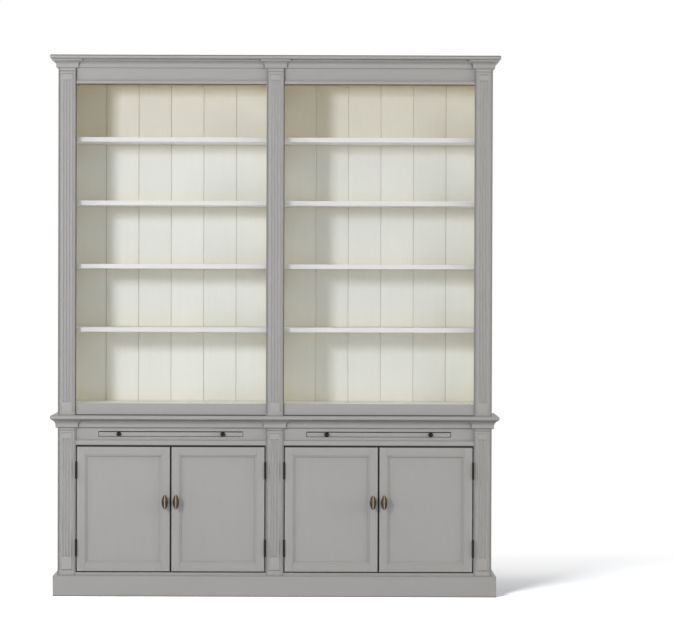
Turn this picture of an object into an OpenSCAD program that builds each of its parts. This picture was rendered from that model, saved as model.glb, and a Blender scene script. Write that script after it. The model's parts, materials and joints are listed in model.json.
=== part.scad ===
// Bookcase with cabinet doors: a two-bay open bookcase standing on a four-door base.
// X runs left to right, Y from front to back, Z up. The origin is on the floor, under
// the middle of the overall box. The faces of the pilasters lie in one plane, y = face_y.

/* [Overall] */
// Width over the outer pilasters
carcass_w = 1924; // [1760:1:2100]
// Depth from the pilaster faces to the back
carcass_d = 414; // [380:1:460]
// Height from the floor to the underside of the waist slab
base_h = 784; // [700:1:880]
// Height from the waist slab to the top of the cornice cap
bookcase_h = 1596; // [1440:1:1800]

/* [Boards] */
// Thickness of the sides, partitions, floors and tops
board_t = 22; // [19:0.5:24]
// Thickness of the pilasters and rails of the face frame
face_t = 22; // [20:0.5:25]
// Thickness of the back boards
back_t = 9; // [7:0.5:12]
// Hairline left at each glued joint
glue_gap = 0.15; // [0.1:0.05:0.25]

/* [Pilasters] */
// Width of the two outer pilasters
outer_pilaster_w = 80; // [76:0.5:90]
// Width of the centre pilaster
centre_pilaster_w = 80; // [78:0.5:92]
// Radius of the flute cutter
flute_r = 5; // [4.6:0.1:5.4]
// Depth of each flute
flute_depth = 3.6; // [2:0.1:3.6]
// Distance between flute centres
flute_pitch = 13; // [11.5:0.1:13.5]
// Number of flutes on a pilaster
flute_count = 3; // [1:2:3]
// Radius of the cutter of the border groove
border_r = 9; // [7:0.1:10]
// Depth of the border groove
border_depth = 5; // [2:0.1:5.2]
// Distance from the pilaster's edge to the middle of the border groove
border_inset = 10.5; // [9.5:0.1:11.5]
// Drop from the waist moulding to the border groove
base_border_drop = 16; // [12:0.5:18]
// Drop from the cornice moulding to the border groove
upper_border_drop = 19.5; // [12:0.5:22]
// Distance from the border groove to the flutes' upper ends
flute_head = 31; // [26:0.5:46]
// Distance from the border groove or slab to the flutes' lower ends
flute_foot = 57; // [44:0.5:70]

/* [Base] */
// Height of the plinth boards
plinth_h = 92; // [76:0.5:96]
// Thickness of the plinth boards
plinth_t = 21; // [18:0.5:26]
// Height of the door openings' lower edge
door_opening_z = 106; // [102:0.5:112]
// Height of the bottom rails
bottom_rail_h = 36; // [28:0.5:44]
// Height of the rails over the doors
door_rail_h = 24; // [20:0.5:28]
// Height of the frieze boards over those rails
base_frieze_h = 92; // [84:0.5:104]
// Setback of the frieze boards behind the pilaster faces
frieze_setback = 10; // [7:0.5:12]
// Height of the cupboard shelves above the cupboard floor
cupboard_shelf_rise = 270; // [200:1:340]

/* [Waist and cornice] */
// Thickness of the waist slab
slab_t = 18.5; // [16:0.5:21]
// Thickness of the cornice cap
cap_t = 17; // [12:0.5:20]
// Overhang of the cap past the pilasters
overhang = 35; // [32:0.5:42]
// Overhang of the slab past the pilasters
slab_overhang = 33; // [31:0.5:40]
// Radius of the slab's nosing
nosing_r = 7; // [4:0.1:7.5]
// Height of the waist moulding
waist_moulding_h = 37; // [34:0.5:42]
// Height of the cornice moulding
cornice_moulding_h = 40; // [39:0.5:48]

/* [Bookcase] */
// Height of the sill rails above the slab
sill_h = 52.5; // [46:0.5:64]
// Setback of the sill rails behind the pilaster faces
sill_setback = 5; // [3:0.5:8]
// Height of the rails over the openings
head_rail_h = 17; // [15:0.5:24]
// Height of the frieze boards over those rails
upper_frieze_h = 96.5; // [86:0.5:110]
// Number of shelves in each bay
shelf_count = 4; // [2:1:4]
// Thickness of a shelf
shelf_t = 20; // [17:0.5:25]
// Distance from the sill to the top of the lowest shelf
first_shelf_rise = 337.5; // [280:0.5:360]
// Distance between shelves
shelf_pitch = 281.5; // [250:0.5:290]
// Setback of the shelves' front edges behind the pilaster faces
shelf_setback = 50; // [30:1:70]
// Width of a tongue-and-groove back board
back_board_w = 147.5; // [130:0.5:152]
// Width of the bevel on a back board's long edges
back_bevel = 2.6; // [1.5:0.1:3.5]

/* [Doors] */
// Gap round a door
door_gap = 4; // [3:0.1:4.5]
// Gap between the two doors of a bay
meeting_gap = 5; // [3:0.1:6]
// Visible width of a door's stiles and rails
door_frame_w = 37; // [30:0.5:48]
// Thickness of a door's panel
panel_t = 8; // [6:0.5:9]
// Depth of the panel's face below the frame's face
panel_sink = 9.5; // [8:0.1:9.5]
// Depth of the panel's tongue in the frame
tongue = 6; // [4:0.5:9]
// Width of the planted bead
bead_w = 11; // [10:0.1:16]
// Height of the planted bead
bead_h = 5.5; // [5:0.1:7]
// Radius of the bead's ovolo
bead_r = 4.2; // [4:0.1:5]

/* [Door fittings] */
// Height of a door knob
knob_h = 65; // [54:0.5:74]
// Width of a door knob
knob_w = 28; // [22:0.5:32]
// Reach of a door knob from the door
knob_reach = 50; // [40:0.5:54]
// Distance from the middle of the meeting gap to a knob
knob_inset = 24.5; // [20:0.5:28]
// Height of the knobs above the doors' lower edges
knob_rise = 310; // [250:1:360]
// Radius of a hinge's barrel
barrel_r = 5; // [4:0.1:5]
// Length of a hinge's barrel
barrel_h = 66; // [54:0.5:80]
// Length of each tip of a hinge pin
pin_tip_h = 8.5; // [5:0.5:12]
// Radius of a hinge pin
pin_r = 2; // [1.6:0.1:2.3]
// Thickness of a hinge leaf
leaf_t = 1.5; // [1:0.1:1.5]
// Distance from a door's end to the middle of its hinge
hinge_inset = 104.5; // [70:0.5:150]

/* [Slides] */
// Width of a slide slot
slot_w = 642; // [600:1:700]
// Height of a slide slot
slot_h = 24; // [22:0.5:26]
// Drop from the waist slab to the slots
slot_drop = 52; // [44:0.5:58]
// Thickness of a slide
slide_t = 18; // [16:0.5:19]
// Gap at each end of a slide
slide_end_gap = 2; // [1:0.5:4]
// Recess of a slide's front edge behind the frieze
slide_recess = 2; // [0:0.5:4]
// Gap between a slide and the back board
slide_back_gap = 17; // [8:0.5:20]
// Gap under a slide in its slot
slide_lift = 2; // [1:0.5:3]
// Travel of a slide
slide_travel = 300; // [200:1:305]
// Distance between the two knobs of a slide
slide_knob_pitch = 461; // [300:1:520]
// Radius of a slide knob
slide_knob_r = 10.5; // [8:0.5:11]

/* [Small parts] */
// Radius of a shelf pin
shelf_pin_r = 2.5; // [2:0.1:3.5]
// Length of a shelf pin
shelf_pin_l = 16; // [14:0.5:20]
// Radius of a locating dowel
dowel_r = 4; // [3:0.5:5]
// Depth of a dowel in each upright
dowel_depth = 14; // [10:1:20]

/* [Hidden] */

$fn = 48;
eps = 1;

paint = [0.65, 0.65, 0.635];
cream = [0.9, 0.88, 0.82];
bronze = [0.3, 0.26, 0.22];
steel = [0.6, 0.6, 0.62];
beech = [0.8, 0.66, 0.48];

// Plan
half_w = carcass_w / 2;
front_reach = max(overhang, slab_overhang, knob_reach);
face_y = (front_reach - carcass_d) / 2;
inner_x = half_w - board_t;
partition_x = board_t / 2;
bay_x0 = -half_w + outer_pilaster_w;
bay_x1 = -centre_pilaster_w / 2;
bay_w = bay_x1 - bay_x0;
bay_c = (bay_x0 + bay_x1) / 2;
back_y = carcass_d - back_t;

// Heights
door_rail_top = base_h - base_frieze_h;
door_opening_top = door_rail_top - door_rail_h;
door_opening_h = door_opening_top - door_opening_z;
slot_z = base_h - slot_drop - slot_h;
slab_top = base_h + slab_t;
sill_z = slab_top + sill_h;
upper_h = slab_top + bookcase_h - cap_t;
head_rail_top = upper_h - upper_frieze_h;
head_z = head_rail_top - head_rail_h;

// Waist moulding: a deep cove between a fillet and a rounded foot
waist_top_reach = 27;
waist_fillet = 1.5;
waist_foot_reach = 9.5;
waist_cove_drop = 27;

// Cornice moulding: a deep fillet, a cove stepped in from it and a rounded foot
crown_reach = 27;
crown_fillet = 8.5;
crown_step = 2.5;
crown_foot_reach = 9.5;
crown_cove_drop = 27;
foot_r = 3.5;

// Edges
cap_chamfer = 3.5;
plinth_chamfer = 1;
groove_foot_rise = 4.5;
stop_gap = 0.4;
fit_gap = 0.05;

// Doors
door_t = face_t - stop_gap;
door_w = (bay_w - 2 * door_gap - meeting_gap) / 2;
door_z = door_opening_z + door_gap;
door_h = door_opening_h - 2 * door_gap;
groove_play = 0.2;
panel_play = 1;

// Hinges
knuckle_count = 5;
knuckle_play = 0.4;
knuckle_h = (barrel_h - (knuckle_count - 1) * knuckle_play) / knuckle_count;
axis_y = -barrel_r - 0.1;
axis_x = bay_x0 + door_gap / 2;
leaf_y0 = 0.3;
leaf_y1 = 17;
pin_point_r = 1.2;

// Door knob: an oval body on a waisted stem and a rosette
knob_end_r = 6;
knob_half = knob_h / 2;
knob_end_z = knob_half - knob_end_r;
knob_belly = knob_w / 2;
knob_side_c = (knob_end_z * knob_end_z - pow(knob_belly - knob_end_r, 2))
    / (2 * (knob_belly - knob_end_r));
knob_side_r = knob_side_c + knob_belly;
knob_join_z = knob_side_r * knob_end_z / (knob_side_r - knob_end_r);
knob_stem_r = 4.5;
knob_neck_r = 7.5;
knob_waist_r = 9;
rosette_r = 9.5;
rosette_t = 2.5;
knob_body_y = knob_reach - knob_belly;

// Catches and stops
stop_d = 18;
stop_overlap = 8.5;
stop_top_gap = 2;
stop_h = stop_overlap + door_gap + door_rail_h - stop_top_gap;
catch_w = 46;
catch_d = 16;
catch_h = 14;
catch_offset = 35;
strike_w = 30;
strike_t = 1.2;
strike_margin = 1;
catch_y = door_t + strike_t + stop_gap;
stop_z = door_opening_top - door_gap - stop_overlap;

// Slides
guide_w = 26;
guide_groove = 8;
guide_play = 0.3;
slide_w = slot_w - 2 * slide_end_gap;
slide_y = frieze_setback + slide_recess;
slide_z = slot_z + slide_lift;
slide_d = back_y - slide_back_gap - slide_y;
cleat_d = 16;
cleat_h = 14;
cleat_play = 1;
cleat_y = face_t + slide_travel + cleat_play;
cleat_inset = 30;
cleat_w = slot_w - 2 * cleat_inset;
slide_knob_stem_r = 4;
slide_knob_reach = 19;
slide_knob_foot_t = 2;
slide_knob_foot_r = 6;

// Shelves
shelf_play = 1;
shelf_end = back_y - shelf_play;
pin_front_inset = 40;
pin_rear_inset = 45;
shelf_pin_y = [shelf_setback + pin_front_inset, back_y - pin_rear_inset];
cupboard_shelf_z = door_opening_z + cupboard_shelf_rise;
cupboard_shelf_setback = 60;
cupboard_pin_y = [cupboard_shelf_setback + pin_front_inset, back_y - pin_rear_inset];
back_board_play = 0.3;
groove_count = 5;
dowel_inset = 75;
dowel_y = [face_t + dowel_inset, back_y - dowel_inset];

function shelf_top(i) = sill_z + first_shelf_rise + i * shelf_pitch;

// Helpers

module in_frame() {
    translate([0, face_y, 0]) children();
}

module both_sides() {
    children();
    mirror([1, 0, 0]) children();
}

// A board between two corners
module board(low, high) {
    translate(low) cube(high - low);
}

// A length of moulding along X, standing out towards -Y. Its section is drawn as
// reach and height. Each end is cut for an outside corner (1), an inside one (-1)
// or square (0).
module moulding_length(x0, x1, turn0, turn1, reach, height) {
    intersection() {
        translate([x0 - reach, 0, 0])
            mirror([0, 1, 0])
                rotate([90, 0, 90])
                    linear_extrude(x1 - x0 + 2 * reach) children();
        translate([0, 0, -height - eps])
            linear_extrude(2 * height + 2 * eps)
                polygon([
                    [x0 + glue_gap / 2, 0],
                    [x1 - glue_gap / 2, 0],
                    [x1 - glue_gap / 2 + turn1 * reach, -reach],
                    [x0 + glue_gap / 2 - turn0 * reach, -reach]
                ]);
    }
}

// A moulding that breaks forward over the three pilasters and runs back along both sides
module breakfront(reach, height) {
    both_sides() {
        translate([-half_w, carcass_d, 0])
            rotate([0, 0, -90])
                moulding_length(0, carcass_d, 0, 1, reach, height) children();
        moulding_length(-half_w, bay_x0, 1, 1, reach, height) children();
        for (x = [bay_x0, -bay_x1])
            translate([x, 0, 0])
                rotate([0, 0, 90])
                    moulding_length(0, frieze_setback, 1, -1, reach, height) children();
        translate([0, frieze_setback, 0])
            moulding_length(bay_x0, bay_x1, -1, -1, reach, height) children();
    }
    moulding_length(bay_x1, -bay_x1, 1, 1, reach, height) children();
}

// Section of a cove moulding, hanging below z = 0: a fillet, a cove that starts a step
// inside it and ends upright, and a rounded foot
module cove_section(top_reach, fillet, step, cove_drop, foot_reach, height) {
    rise = cove_drop - fillet;
    run = top_reach - step - foot_reach;
    cove_r = (rise * rise + run * run) / (2 * run);
    difference() {
        union() {
            translate([0, -height + foot_r]) square([top_reach, height - foot_r]);
            translate([0, -height]) square([foot_reach - foot_r, foot_r + eps]);
            translate([foot_reach - foot_r, -height + foot_r]) circle(foot_r);
        }
        intersection() {
            translate([foot_reach + cove_r, -cove_drop]) circle(cove_r, $fn = 120);
            translate([foot_reach, -cove_drop]) square([cove_r, rise]);
        }
        translate([foot_reach, -height - eps]) square([top_reach, height + eps - cove_drop]);
        translate([top_reach - step, -cove_drop - eps]) square([step + eps, rise + eps]);
    }
}

module waist_section() {
    cove_section(
        waist_top_reach, waist_fillet, 0, waist_cove_drop, waist_foot_reach, waist_moulding_h
    );
}

module cornice_section() {
    cove_section(
        crown_reach, crown_fillet, crown_step, crown_cove_drop, crown_foot_reach,
        cornice_moulding_h
    );
}

// Section of the plinth boards, standing on z = 0
module plinth_section() {
    polygon([
        [0, 0],
        [plinth_t, 0],
        [plinth_t, plinth_h - plinth_chamfer],
        [plinth_t - plinth_chamfer, plinth_h],
        [0, plinth_h]
    ]);
}

// A pilaster board on its side edge x = 0 to w, with its face at y = 0. It has a coved
// border groove and rounded flutes. The groove closes at its foot on the base only.
module pilaster(w, z0, z1, groove_z0, groove_z1, flute_z0, flute_z1, closed_foot) {
    border_y = border_depth - border_r;
    flute_y = flute_depth - flute_r;
    border_x = [border_inset, w - border_inset];
    difference() {
        board([0, 0, z0], [w, face_t, z1]);
        for (x = border_x) {
            translate([x, border_y, groove_z0]) cylinder(r = border_r, h = groove_z1 - groove_z0);
            for (z = [groove_z0, groove_z1]) translate([x, border_y, z]) sphere(border_r);
        }
        for (z = closed_foot ? [groove_z0, groove_z1] : [groove_z1])
            translate([border_x[0], border_y, z])
                rotate([0, 90, 0]) cylinder(r = border_r, h = w - 2 * border_inset);
        for (i = [0 : flute_count - 1])
            translate([w / 2 + (i - (flute_count - 1) / 2) * flute_pitch, flute_y, 0]) {
                translate([0, 0, flute_z0 + flute_r])
                    cylinder(r = flute_r, h = flute_z1 - flute_z0 - 2 * flute_r);
                for (z = [flute_z0 + flute_r, flute_z1 - flute_r])
                    translate([0, 0, z]) sphere(flute_r);
            }
    }
}

module base_pilaster(w) {
    groove_top = base_h - waist_moulding_h - base_border_drop;
    groove_foot = door_opening_z + groove_foot_rise;
    pilaster(
        w, 0, base_h, groove_foot, groove_top,
        groove_foot + groove_foot_rise + flute_foot, groove_top - flute_head, true
    );
}

module upper_pilaster(w) {
    groove_top = upper_h - cornice_moulding_h - upper_border_drop;
    groove_foot = slab_top + 2 * border_r;
    pilaster(
        w, slab_top, upper_h, groove_foot, groove_top,
        slab_top + flute_foot, groove_top - flute_head, false
    );
}

// A row of pin holes or pins for a shelf whose underside is at z
module shelf_pin_places(z, ys) {
    for (y = ys) translate([0, y, z - shelf_pin_r]) rotate([0, 90, 0]) children();
}

module shelf_pins_at(z, ys, r, l) {
    shelf_pin_places(z, ys) {
        translate([0, 0, -inner_x - l / 2]) cylinder(r = r, h = l);
        translate([0, 0, -partition_x - l / 2]) cylinder(r = r, h = l);
    }
}

module all_shelf_pins(r, l) {
    both_sides() for (i = [0 : shelf_count - 1])
        shelf_pins_at(shelf_top(i) - shelf_t, shelf_pin_y, r, l);
}

module all_cupboard_pins(r, l) {
    both_sides() shelf_pins_at(cupboard_shelf_z - shelf_t, cupboard_pin_y, r, l);
}

// Dowels that locate the bookcase on its base
module all_dowels(r, depth) {
    for (x = [-half_w + partition_x, 0, half_w - partition_x], y = dowel_y)
        translate([x, y, base_h - depth]) cylinder(r = r, h = slab_t + 2 * depth);
}

// Base

module plinth() {
    color(paint) in_frame() {
        both_sides()
            translate([-half_w, carcass_d, 0])
                rotate([0, 0, -90])
                    moulding_length(0, carcass_d, 0, 1, plinth_t, plinth_h) plinth_section();
        moulding_length(-half_w, half_w, 1, 1, plinth_t, plinth_h) plinth_section();
    }
}

module base_sides() {
    color(paint) in_frame() difference() {
        both_sides() board([-half_w, face_t, 0], [-inner_x, carcass_d, base_h]);
        all_dowels(dowel_r + fit_gap, dowel_depth + eps);
        all_cupboard_pins(shelf_pin_r + fit_gap, shelf_pin_l + eps);
    }
}

module base_partition() {
    color(cream) in_frame() difference() {
        board([-partition_x, face_t, 0], [partition_x, back_y, base_h]);
        all_dowels(dowel_r + fit_gap, dowel_depth + eps);
        all_cupboard_pins(shelf_pin_r + fit_gap, shelf_pin_l + eps);
    }
}

module base_floor() {
    color(cream) in_frame() both_sides()
        board(
            [-inner_x, face_t, door_opening_z - board_t],
            [-partition_x, back_y, door_opening_z]
        );
}

module base_back() {
    color(cream) in_frame() board([-inner_x, back_y, 0], [inner_x, carcass_d, base_h]);
}

module base_pilaster_left() {
    color(paint) in_frame() translate([-half_w, 0, 0]) base_pilaster(outer_pilaster_w);
}

module base_pilaster_centre() {
    color(paint) in_frame() translate([bay_x1, 0, 0]) base_pilaster(centre_pilaster_w);
}

module base_pilaster_right() {
    color(paint) in_frame() translate([-bay_x0, 0, 0]) base_pilaster(outer_pilaster_w);
}

module base_rails() {
    color(paint) in_frame() both_sides() {
        board([bay_x0, 0, door_opening_z - bottom_rail_h], [bay_x1, face_t, door_opening_z]);
        board([bay_x0, 0, door_opening_top], [bay_x1, face_t, door_rail_top]);
    }
}

// Each frieze board has a slot that its slide passes through
module base_friezes() {
    color(paint) in_frame() both_sides() difference() {
        board([bay_x0, frieze_setback, door_rail_top], [bay_x1, face_t, base_h]);
        board(
            [bay_c - slot_w / 2, frieze_setback - eps, slot_z],
            [bay_c + slot_w / 2, face_t + eps, slot_z + slot_h]
        );
    }
}

module door_stops() {
    color(beech) in_frame() both_sides()
        board([bay_x0, face_t, stop_z], [bay_x1, face_t + stop_d, stop_z + stop_h]);
}

module door_catches() {
    color(steel) in_frame() both_sides() for (side = [-1, 1])
        translate([bay_c + side * catch_offset - catch_w / 2, catch_y, stop_z - catch_h])
            difference() {
                cube([catch_w, catch_d, catch_h]);
                // The notch that shows the magnet between its two pole plates
                translate([catch_w / 4, -eps, catch_h / 4])
                    cube([catch_w / 2, catch_d / 4 + eps, catch_h / 2]);
            }
}

// Grooved battens hung from the slab, one at each side of a slide
module slide_guides() {
    color(beech) in_frame() both_sides() for (side = [0, 1])
        translate([bay_c, 0, 0]) mirror([side, 0, 0]) difference() {
            board(
                [slide_w / 2 - guide_groove + slide_end_gap / 2, face_t, slot_z - guide_groove],
                [slide_w / 2 - guide_groove + guide_w, back_y, base_h]
            );
            board(
                [0, face_t - eps, slide_z - guide_play],
                [slide_w / 2 + slide_end_gap / 2, back_y + eps, slide_z + slide_t + guide_play]
            );
        }
}

module cupboard_shelves() {
    color(cream) in_frame() both_sides()
        board(
            [-inner_x + shelf_play, cupboard_shelf_setback, cupboard_shelf_z - shelf_t],
            [-partition_x - shelf_play, shelf_end, cupboard_shelf_z]
        );
}

// A slab section of length l along x and thickness t, with both ends rounded
module nosed_section(x0, x1, t, r) {
    translate([x0 + r, 0]) square([x1 - x0 - 2 * r, t]);
    translate([x0, r]) square([x1 - x0, t - 2 * r]);
    for (x = [x0 + r, x1 - r], z = [r, t - r]) translate([x, z]) circle(r);
}

module waist_slab() {
    color(paint) in_frame() translate([0, 0, base_h]) difference() {
        intersection() {
            translate([0, carcass_d, 0])
                rotate([90, 0, 0])
                    linear_extrude(carcass_d + slab_overhang)
                        nosed_section(
                            -half_w - slab_overhang, half_w + slab_overhang, slab_t, nosing_r
                        );
            translate([-half_w - slab_overhang, 0, 0])
                rotate([90, 0, 90])
                    linear_extrude(carcass_w + 2 * slab_overhang)
                        nosed_section(
                            -slab_overhang, carcass_d + 2 * nosing_r, slab_t, nosing_r
                        );
        }
        translate([0, 0, -base_h]) all_dowels(dowel_r + fit_gap, dowel_depth + eps);
    }
}

module waist_moulding() {
    color(paint) in_frame() translate([0, 0, base_h])
        breakfront(waist_top_reach, waist_moulding_h) waist_section();
}

// Doors

// One side of a hinge: its leaf and its own knuckles, round the axis x = 0, y = axis_y.
// The leaf lies on the side x < 0 and reaches back into the gap beside the door.
module hinge_half(first) {
    difference() {
        union() {
            translate([-door_gap / 2, leaf_y0, -barrel_h / 2])
                cube([leaf_t, leaf_y1 - leaf_y0, barrel_h]);
            for (i = [first : 2 : knuckle_count - 1])
                translate([0, axis_y, -barrel_h / 2 + i * (knuckle_h + knuckle_play)]) {
                    cylinder(r = barrel_r, h = knuckle_h);
                    translate([-door_gap / 2, 0, 0]) cube([leaf_t, leaf_y0 - axis_y, knuckle_h]);
                }
        }
        translate([0, axis_y, -barrel_h]) cylinder(r = pin_r + fit_gap, h = 2 * barrel_h);
    }
}

module hinge_pin() {
    cylinder(r = pin_r, h = barrel_h, center = true);
    for (side = [0, 1]) mirror([0, 0, side]) translate([0, 0, barrel_h / 2 + glue_gap])
        rotate_extrude() {
            polygon([
                [0, -glue_gap - eps],
                [pin_r, -glue_gap - eps],
                [pin_r, 0],
                [barrel_r, 0],
                [barrel_r, pin_tip_h / 4],
                [pin_point_r, pin_tip_h - pin_point_r],
                [0, pin_tip_h - pin_point_r]
            ]);
            intersection() {
                translate([0, pin_tip_h - pin_point_r]) circle(pin_point_r);
                translate([0, pin_tip_h - pin_point_r]) square(pin_point_r);
            }
        }
}

// The two hinge places of the leftmost door, with its hinges on the left
module hinge_places() {
    for (z = [door_z + hinge_inset, door_z + door_h - hinge_inset])
        translate([axis_x, 0, z]) children();
}

// Places a piece of the leftmost door on door 1, 2, 3 or 4
module on_door(number) {
    in_frame()
        mirror([number > 2 ? 1 : 0, 0, 0])
            translate([bay_c, 0, 0])
                mirror([number == 2 || number == 3 ? 1 : 0, 0, 0])
                    translate([-bay_c, 0, 0]) children();
}

module door_frame() {
    x0 = bay_x0 + door_gap;
    x1 = x0 + door_w;
    z1 = door_z + door_h;
    difference() {
        union() {
            board([x0, 0, door_z], [x0 + door_frame_w, door_t, z1]);
            board([x1 - door_frame_w, 0, door_z], [x1, door_t, z1]);
            for (z = [door_z, z1 - door_frame_w])
                board(
                    [x0 + door_frame_w + glue_gap, 0, z],
                    [x1 - door_frame_w - glue_gap, door_t, z + door_frame_w]
                );
        }
        board(
            [x0 + door_frame_w - tongue, panel_sink - groove_play / 2,
                door_z + door_frame_w - tongue],
            [x1 - door_frame_w + tongue, panel_sink + panel_t + groove_play / 2,
                z1 - door_frame_w + tongue]
        );
    }
}

module door_panel() {
    edge = door_frame_w - tongue + panel_play;
    x0 = bay_x0 + door_gap;
    board(
        [x0 + edge, panel_sink, door_z + edge],
        [x0 + door_w - edge, panel_sink + panel_t, door_z + door_h - edge]
    );
}

// Section of the planted bead, lying on the panel with its tall edge against the frame
module bead_section() {
    flat = bead_w - bead_r - 2 * (bead_h - bead_r);
    square([bead_w, bead_h - bead_r]);
    square([flat, bead_h]);
    intersection() {
        translate([flat, bead_h - bead_r]) circle(bead_r);
        translate([flat, bead_h - bead_r]) square(bead_r);
    }
}

module bead_length(l, offset) {
    translate([0, 0, offset]) rotate([90, 0, 0])
        moulding_length(-l / 2, l / 2, -1, -1, bead_w, bead_h) bead_section();
}

module door_bead() {
    w = door_w - 2 * door_frame_w;
    h = door_h - 2 * door_frame_w;
    translate([bay_x0 + door_gap + door_w / 2, panel_sink, door_z + door_h / 2])
        for (side = [0, 1]) {
            mirror([0, 0, side]) bead_length(w, h / 2);
            mirror([side, 0, 0]) rotate([0, 90, 0]) bead_length(h, w / 2);
        }
}

module knob_profile() {
    intersection() {
        translate([-knob_side_c, 0]) circle(knob_side_r, $fn = 96);
        translate([0, -knob_join_z]) square([knob_belly, 2 * knob_join_z]);
    }
    for (side = [-1, 1]) intersection() {
        translate([0, side * knob_end_z]) circle(knob_end_r);
        translate([0, -knob_half]) square([knob_end_r, knob_h]);
    }
}

// Half section of the stem: it narrows between the rosette and the knob's body
module knob_stem_profile() {
    difference() {
        square([knob_neck_r, knob_body_y]);
        translate([knob_stem_r + knob_waist_r, (rosette_t + knob_body_y - knob_belly / 2) / 2])
            circle(knob_waist_r);
    }
}

module door_knob() {
    translate([bay_c - knob_inset, 0, door_z + knob_rise]) {
        translate([0, -knob_body_y, 0]) rotate_extrude() knob_profile();
        rotate([90, 0, 0]) {
            cylinder(r = rosette_r, h = rosette_t);
            rotate_extrude() knob_stem_profile();
        }
    }
}

// The moving leaves of the two hinges and the catch's strike plate
module door_fittings() {
    hinge_places() mirror([1, 0, 0]) hinge_half(1);
    board(
        [bay_c - catch_offset - strike_w / 2, door_t, stop_z - catch_h + strike_margin],
        [bay_c - catch_offset + strike_w / 2, door_t + strike_t, stop_z - strike_margin]
    );
}

module hinge_fixed_leaves() {
    color(bronze) for (number = [1 : 4]) on_door(number) hinge_places() hinge_half(0);
}

module hinge_pins() {
    color(bronze) for (number = [1 : 4]) on_door(number) hinge_places()
        translate([0, axis_y, 0]) hinge_pin();
}

module door_1_frame() { color(paint) on_door(1) door_frame(); }
module door_2_frame() { color(paint) on_door(2) door_frame(); }
module door_3_frame() { color(paint) on_door(3) door_frame(); }
module door_4_frame() { color(paint) on_door(4) door_frame(); }
module door_1_panel() { color(paint) on_door(1) door_panel(); }
module door_2_panel() { color(paint) on_door(2) door_panel(); }
module door_3_panel() { color(paint) on_door(3) door_panel(); }
module door_4_panel() { color(paint) on_door(4) door_panel(); }
module door_1_bead() { color(paint) on_door(1) door_bead(); }
module door_2_bead() { color(paint) on_door(2) door_bead(); }
module door_3_bead() { color(paint) on_door(3) door_bead(); }
module door_4_bead() { color(paint) on_door(4) door_bead(); }
module door_1_knob() { color(bronze) on_door(1) door_knob(); }
module door_2_knob() { color(bronze) on_door(2) door_knob(); }
module door_3_knob() { color(bronze) on_door(3) door_knob(); }
module door_4_knob() { color(bronze) on_door(4) door_knob(); }
module door_1_fittings() { color(bronze) on_door(1) door_fittings(); }
module door_2_fittings() { color(bronze) on_door(2) door_fittings(); }
module door_3_fittings() { color(bronze) on_door(3) door_fittings(); }
module door_4_fittings() { color(bronze) on_door(4) door_fittings(); }

// Slides

// A pull-out board with a rear cleat that stops it against the frieze
module slide_board() {
    translate([bay_c, 0, slide_z]) {
        board([-slide_w / 2, slide_y, 0], [slide_w / 2, slide_y + slide_d, slide_t]);
        board(
            [-cleat_w / 2, cleat_y, slide_t + glue_gap],
            [cleat_w / 2, cleat_y + cleat_d, slide_t + cleat_h]
        );
    }
}

module slide_knobs() {
    for (side = [-1, 1])
        translate([bay_c + side * slide_knob_pitch / 2, slide_y, slide_z + slide_t / 2])
            rotate([90, 0, 0]) {
                cylinder(r = slide_knob_foot_r, h = slide_knob_foot_t);
                cylinder(r = slide_knob_stem_r, h = slide_knob_reach - slide_knob_r);
                translate([0, 0, slide_knob_reach - slide_knob_r]) intersection() {
                    sphere(slide_knob_r);
                    translate([0, 0, slide_knob_r / 4])
                        cube([2, 2, 1.5] * slide_knob_r, center = true);
                }
            }
}

module slide_left_board() { color(paint) in_frame() slide_board(); }
module slide_right_board() { color(paint) in_frame() mirror([1, 0, 0]) slide_board(); }
module slide_left_knobs() { color(bronze) in_frame() slide_knobs(); }
module slide_right_knobs() { color(bronze) in_frame() mirror([1, 0, 0]) slide_knobs(); }

// Bookcase

module upper_sides() {
    color(paint) in_frame() difference() {
        both_sides() board([-half_w, face_t, slab_top], [-inner_x, carcass_d, upper_h]);
        all_dowels(dowel_r + fit_gap, dowel_depth + eps);
        all_shelf_pins(shelf_pin_r + fit_gap, shelf_pin_l + eps);
    }
}

module upper_partition() {
    color(cream) in_frame() difference() {
        board([-partition_x, face_t, slab_top], [partition_x, back_y, upper_h]);
        all_dowels(dowel_r + fit_gap, dowel_depth + eps);
        all_shelf_pins(shelf_pin_r + fit_gap, shelf_pin_l + eps);
    }
}

module upper_floor() {
    color(cream) in_frame() both_sides()
        board([-inner_x, face_t, sill_z - board_t], [-partition_x, back_y, sill_z]);
}

module upper_top() {
    color(cream) in_frame() both_sides()
        board([-inner_x, face_t, head_rail_top], [-partition_x, back_y, head_rail_top + board_t]);
}

// The back of one bay: upright boards with bevelled edges that meet in V-grooves
module back_boards() {
    middle = -(inner_x + partition_x) / 2;
    grooves = [for (i = [0 : groove_count - 1]) middle + (i - (groove_count - 1) / 2) * back_board_w];
    edges = concat([-inner_x], grooves, [0]);
    for (i = [0 : groove_count]) {
        x0 = edges[i] + back_board_play / 2;
        x1 = edges[i + 1] - back_board_play / 2;
        bevel0 = i == 0 ? 0 : back_bevel;
        bevel1 = i == groove_count ? 0 : back_bevel;
        translate([0, 0, slab_top])
            linear_extrude(upper_h - slab_top)
                polygon([
                    [x0 + bevel0, back_y],
                    [x1 - bevel1, back_y],
                    [x1, back_y + bevel1],
                    [x1, carcass_d],
                    [x0, carcass_d],
                    [x0, back_y + bevel0]
                ]);
    }
}

module back_boards_left() {
    color(cream) in_frame() back_boards();
}

module back_boards_right() {
    color(cream) in_frame() mirror([1, 0, 0]) back_boards();
}

module upper_pilaster_left() {
    color(paint) in_frame() translate([-half_w, 0, 0]) upper_pilaster(outer_pilaster_w);
}

module upper_pilaster_centre() {
    color(paint) in_frame() translate([bay_x1, 0, 0]) upper_pilaster(centre_pilaster_w);
}

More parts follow.
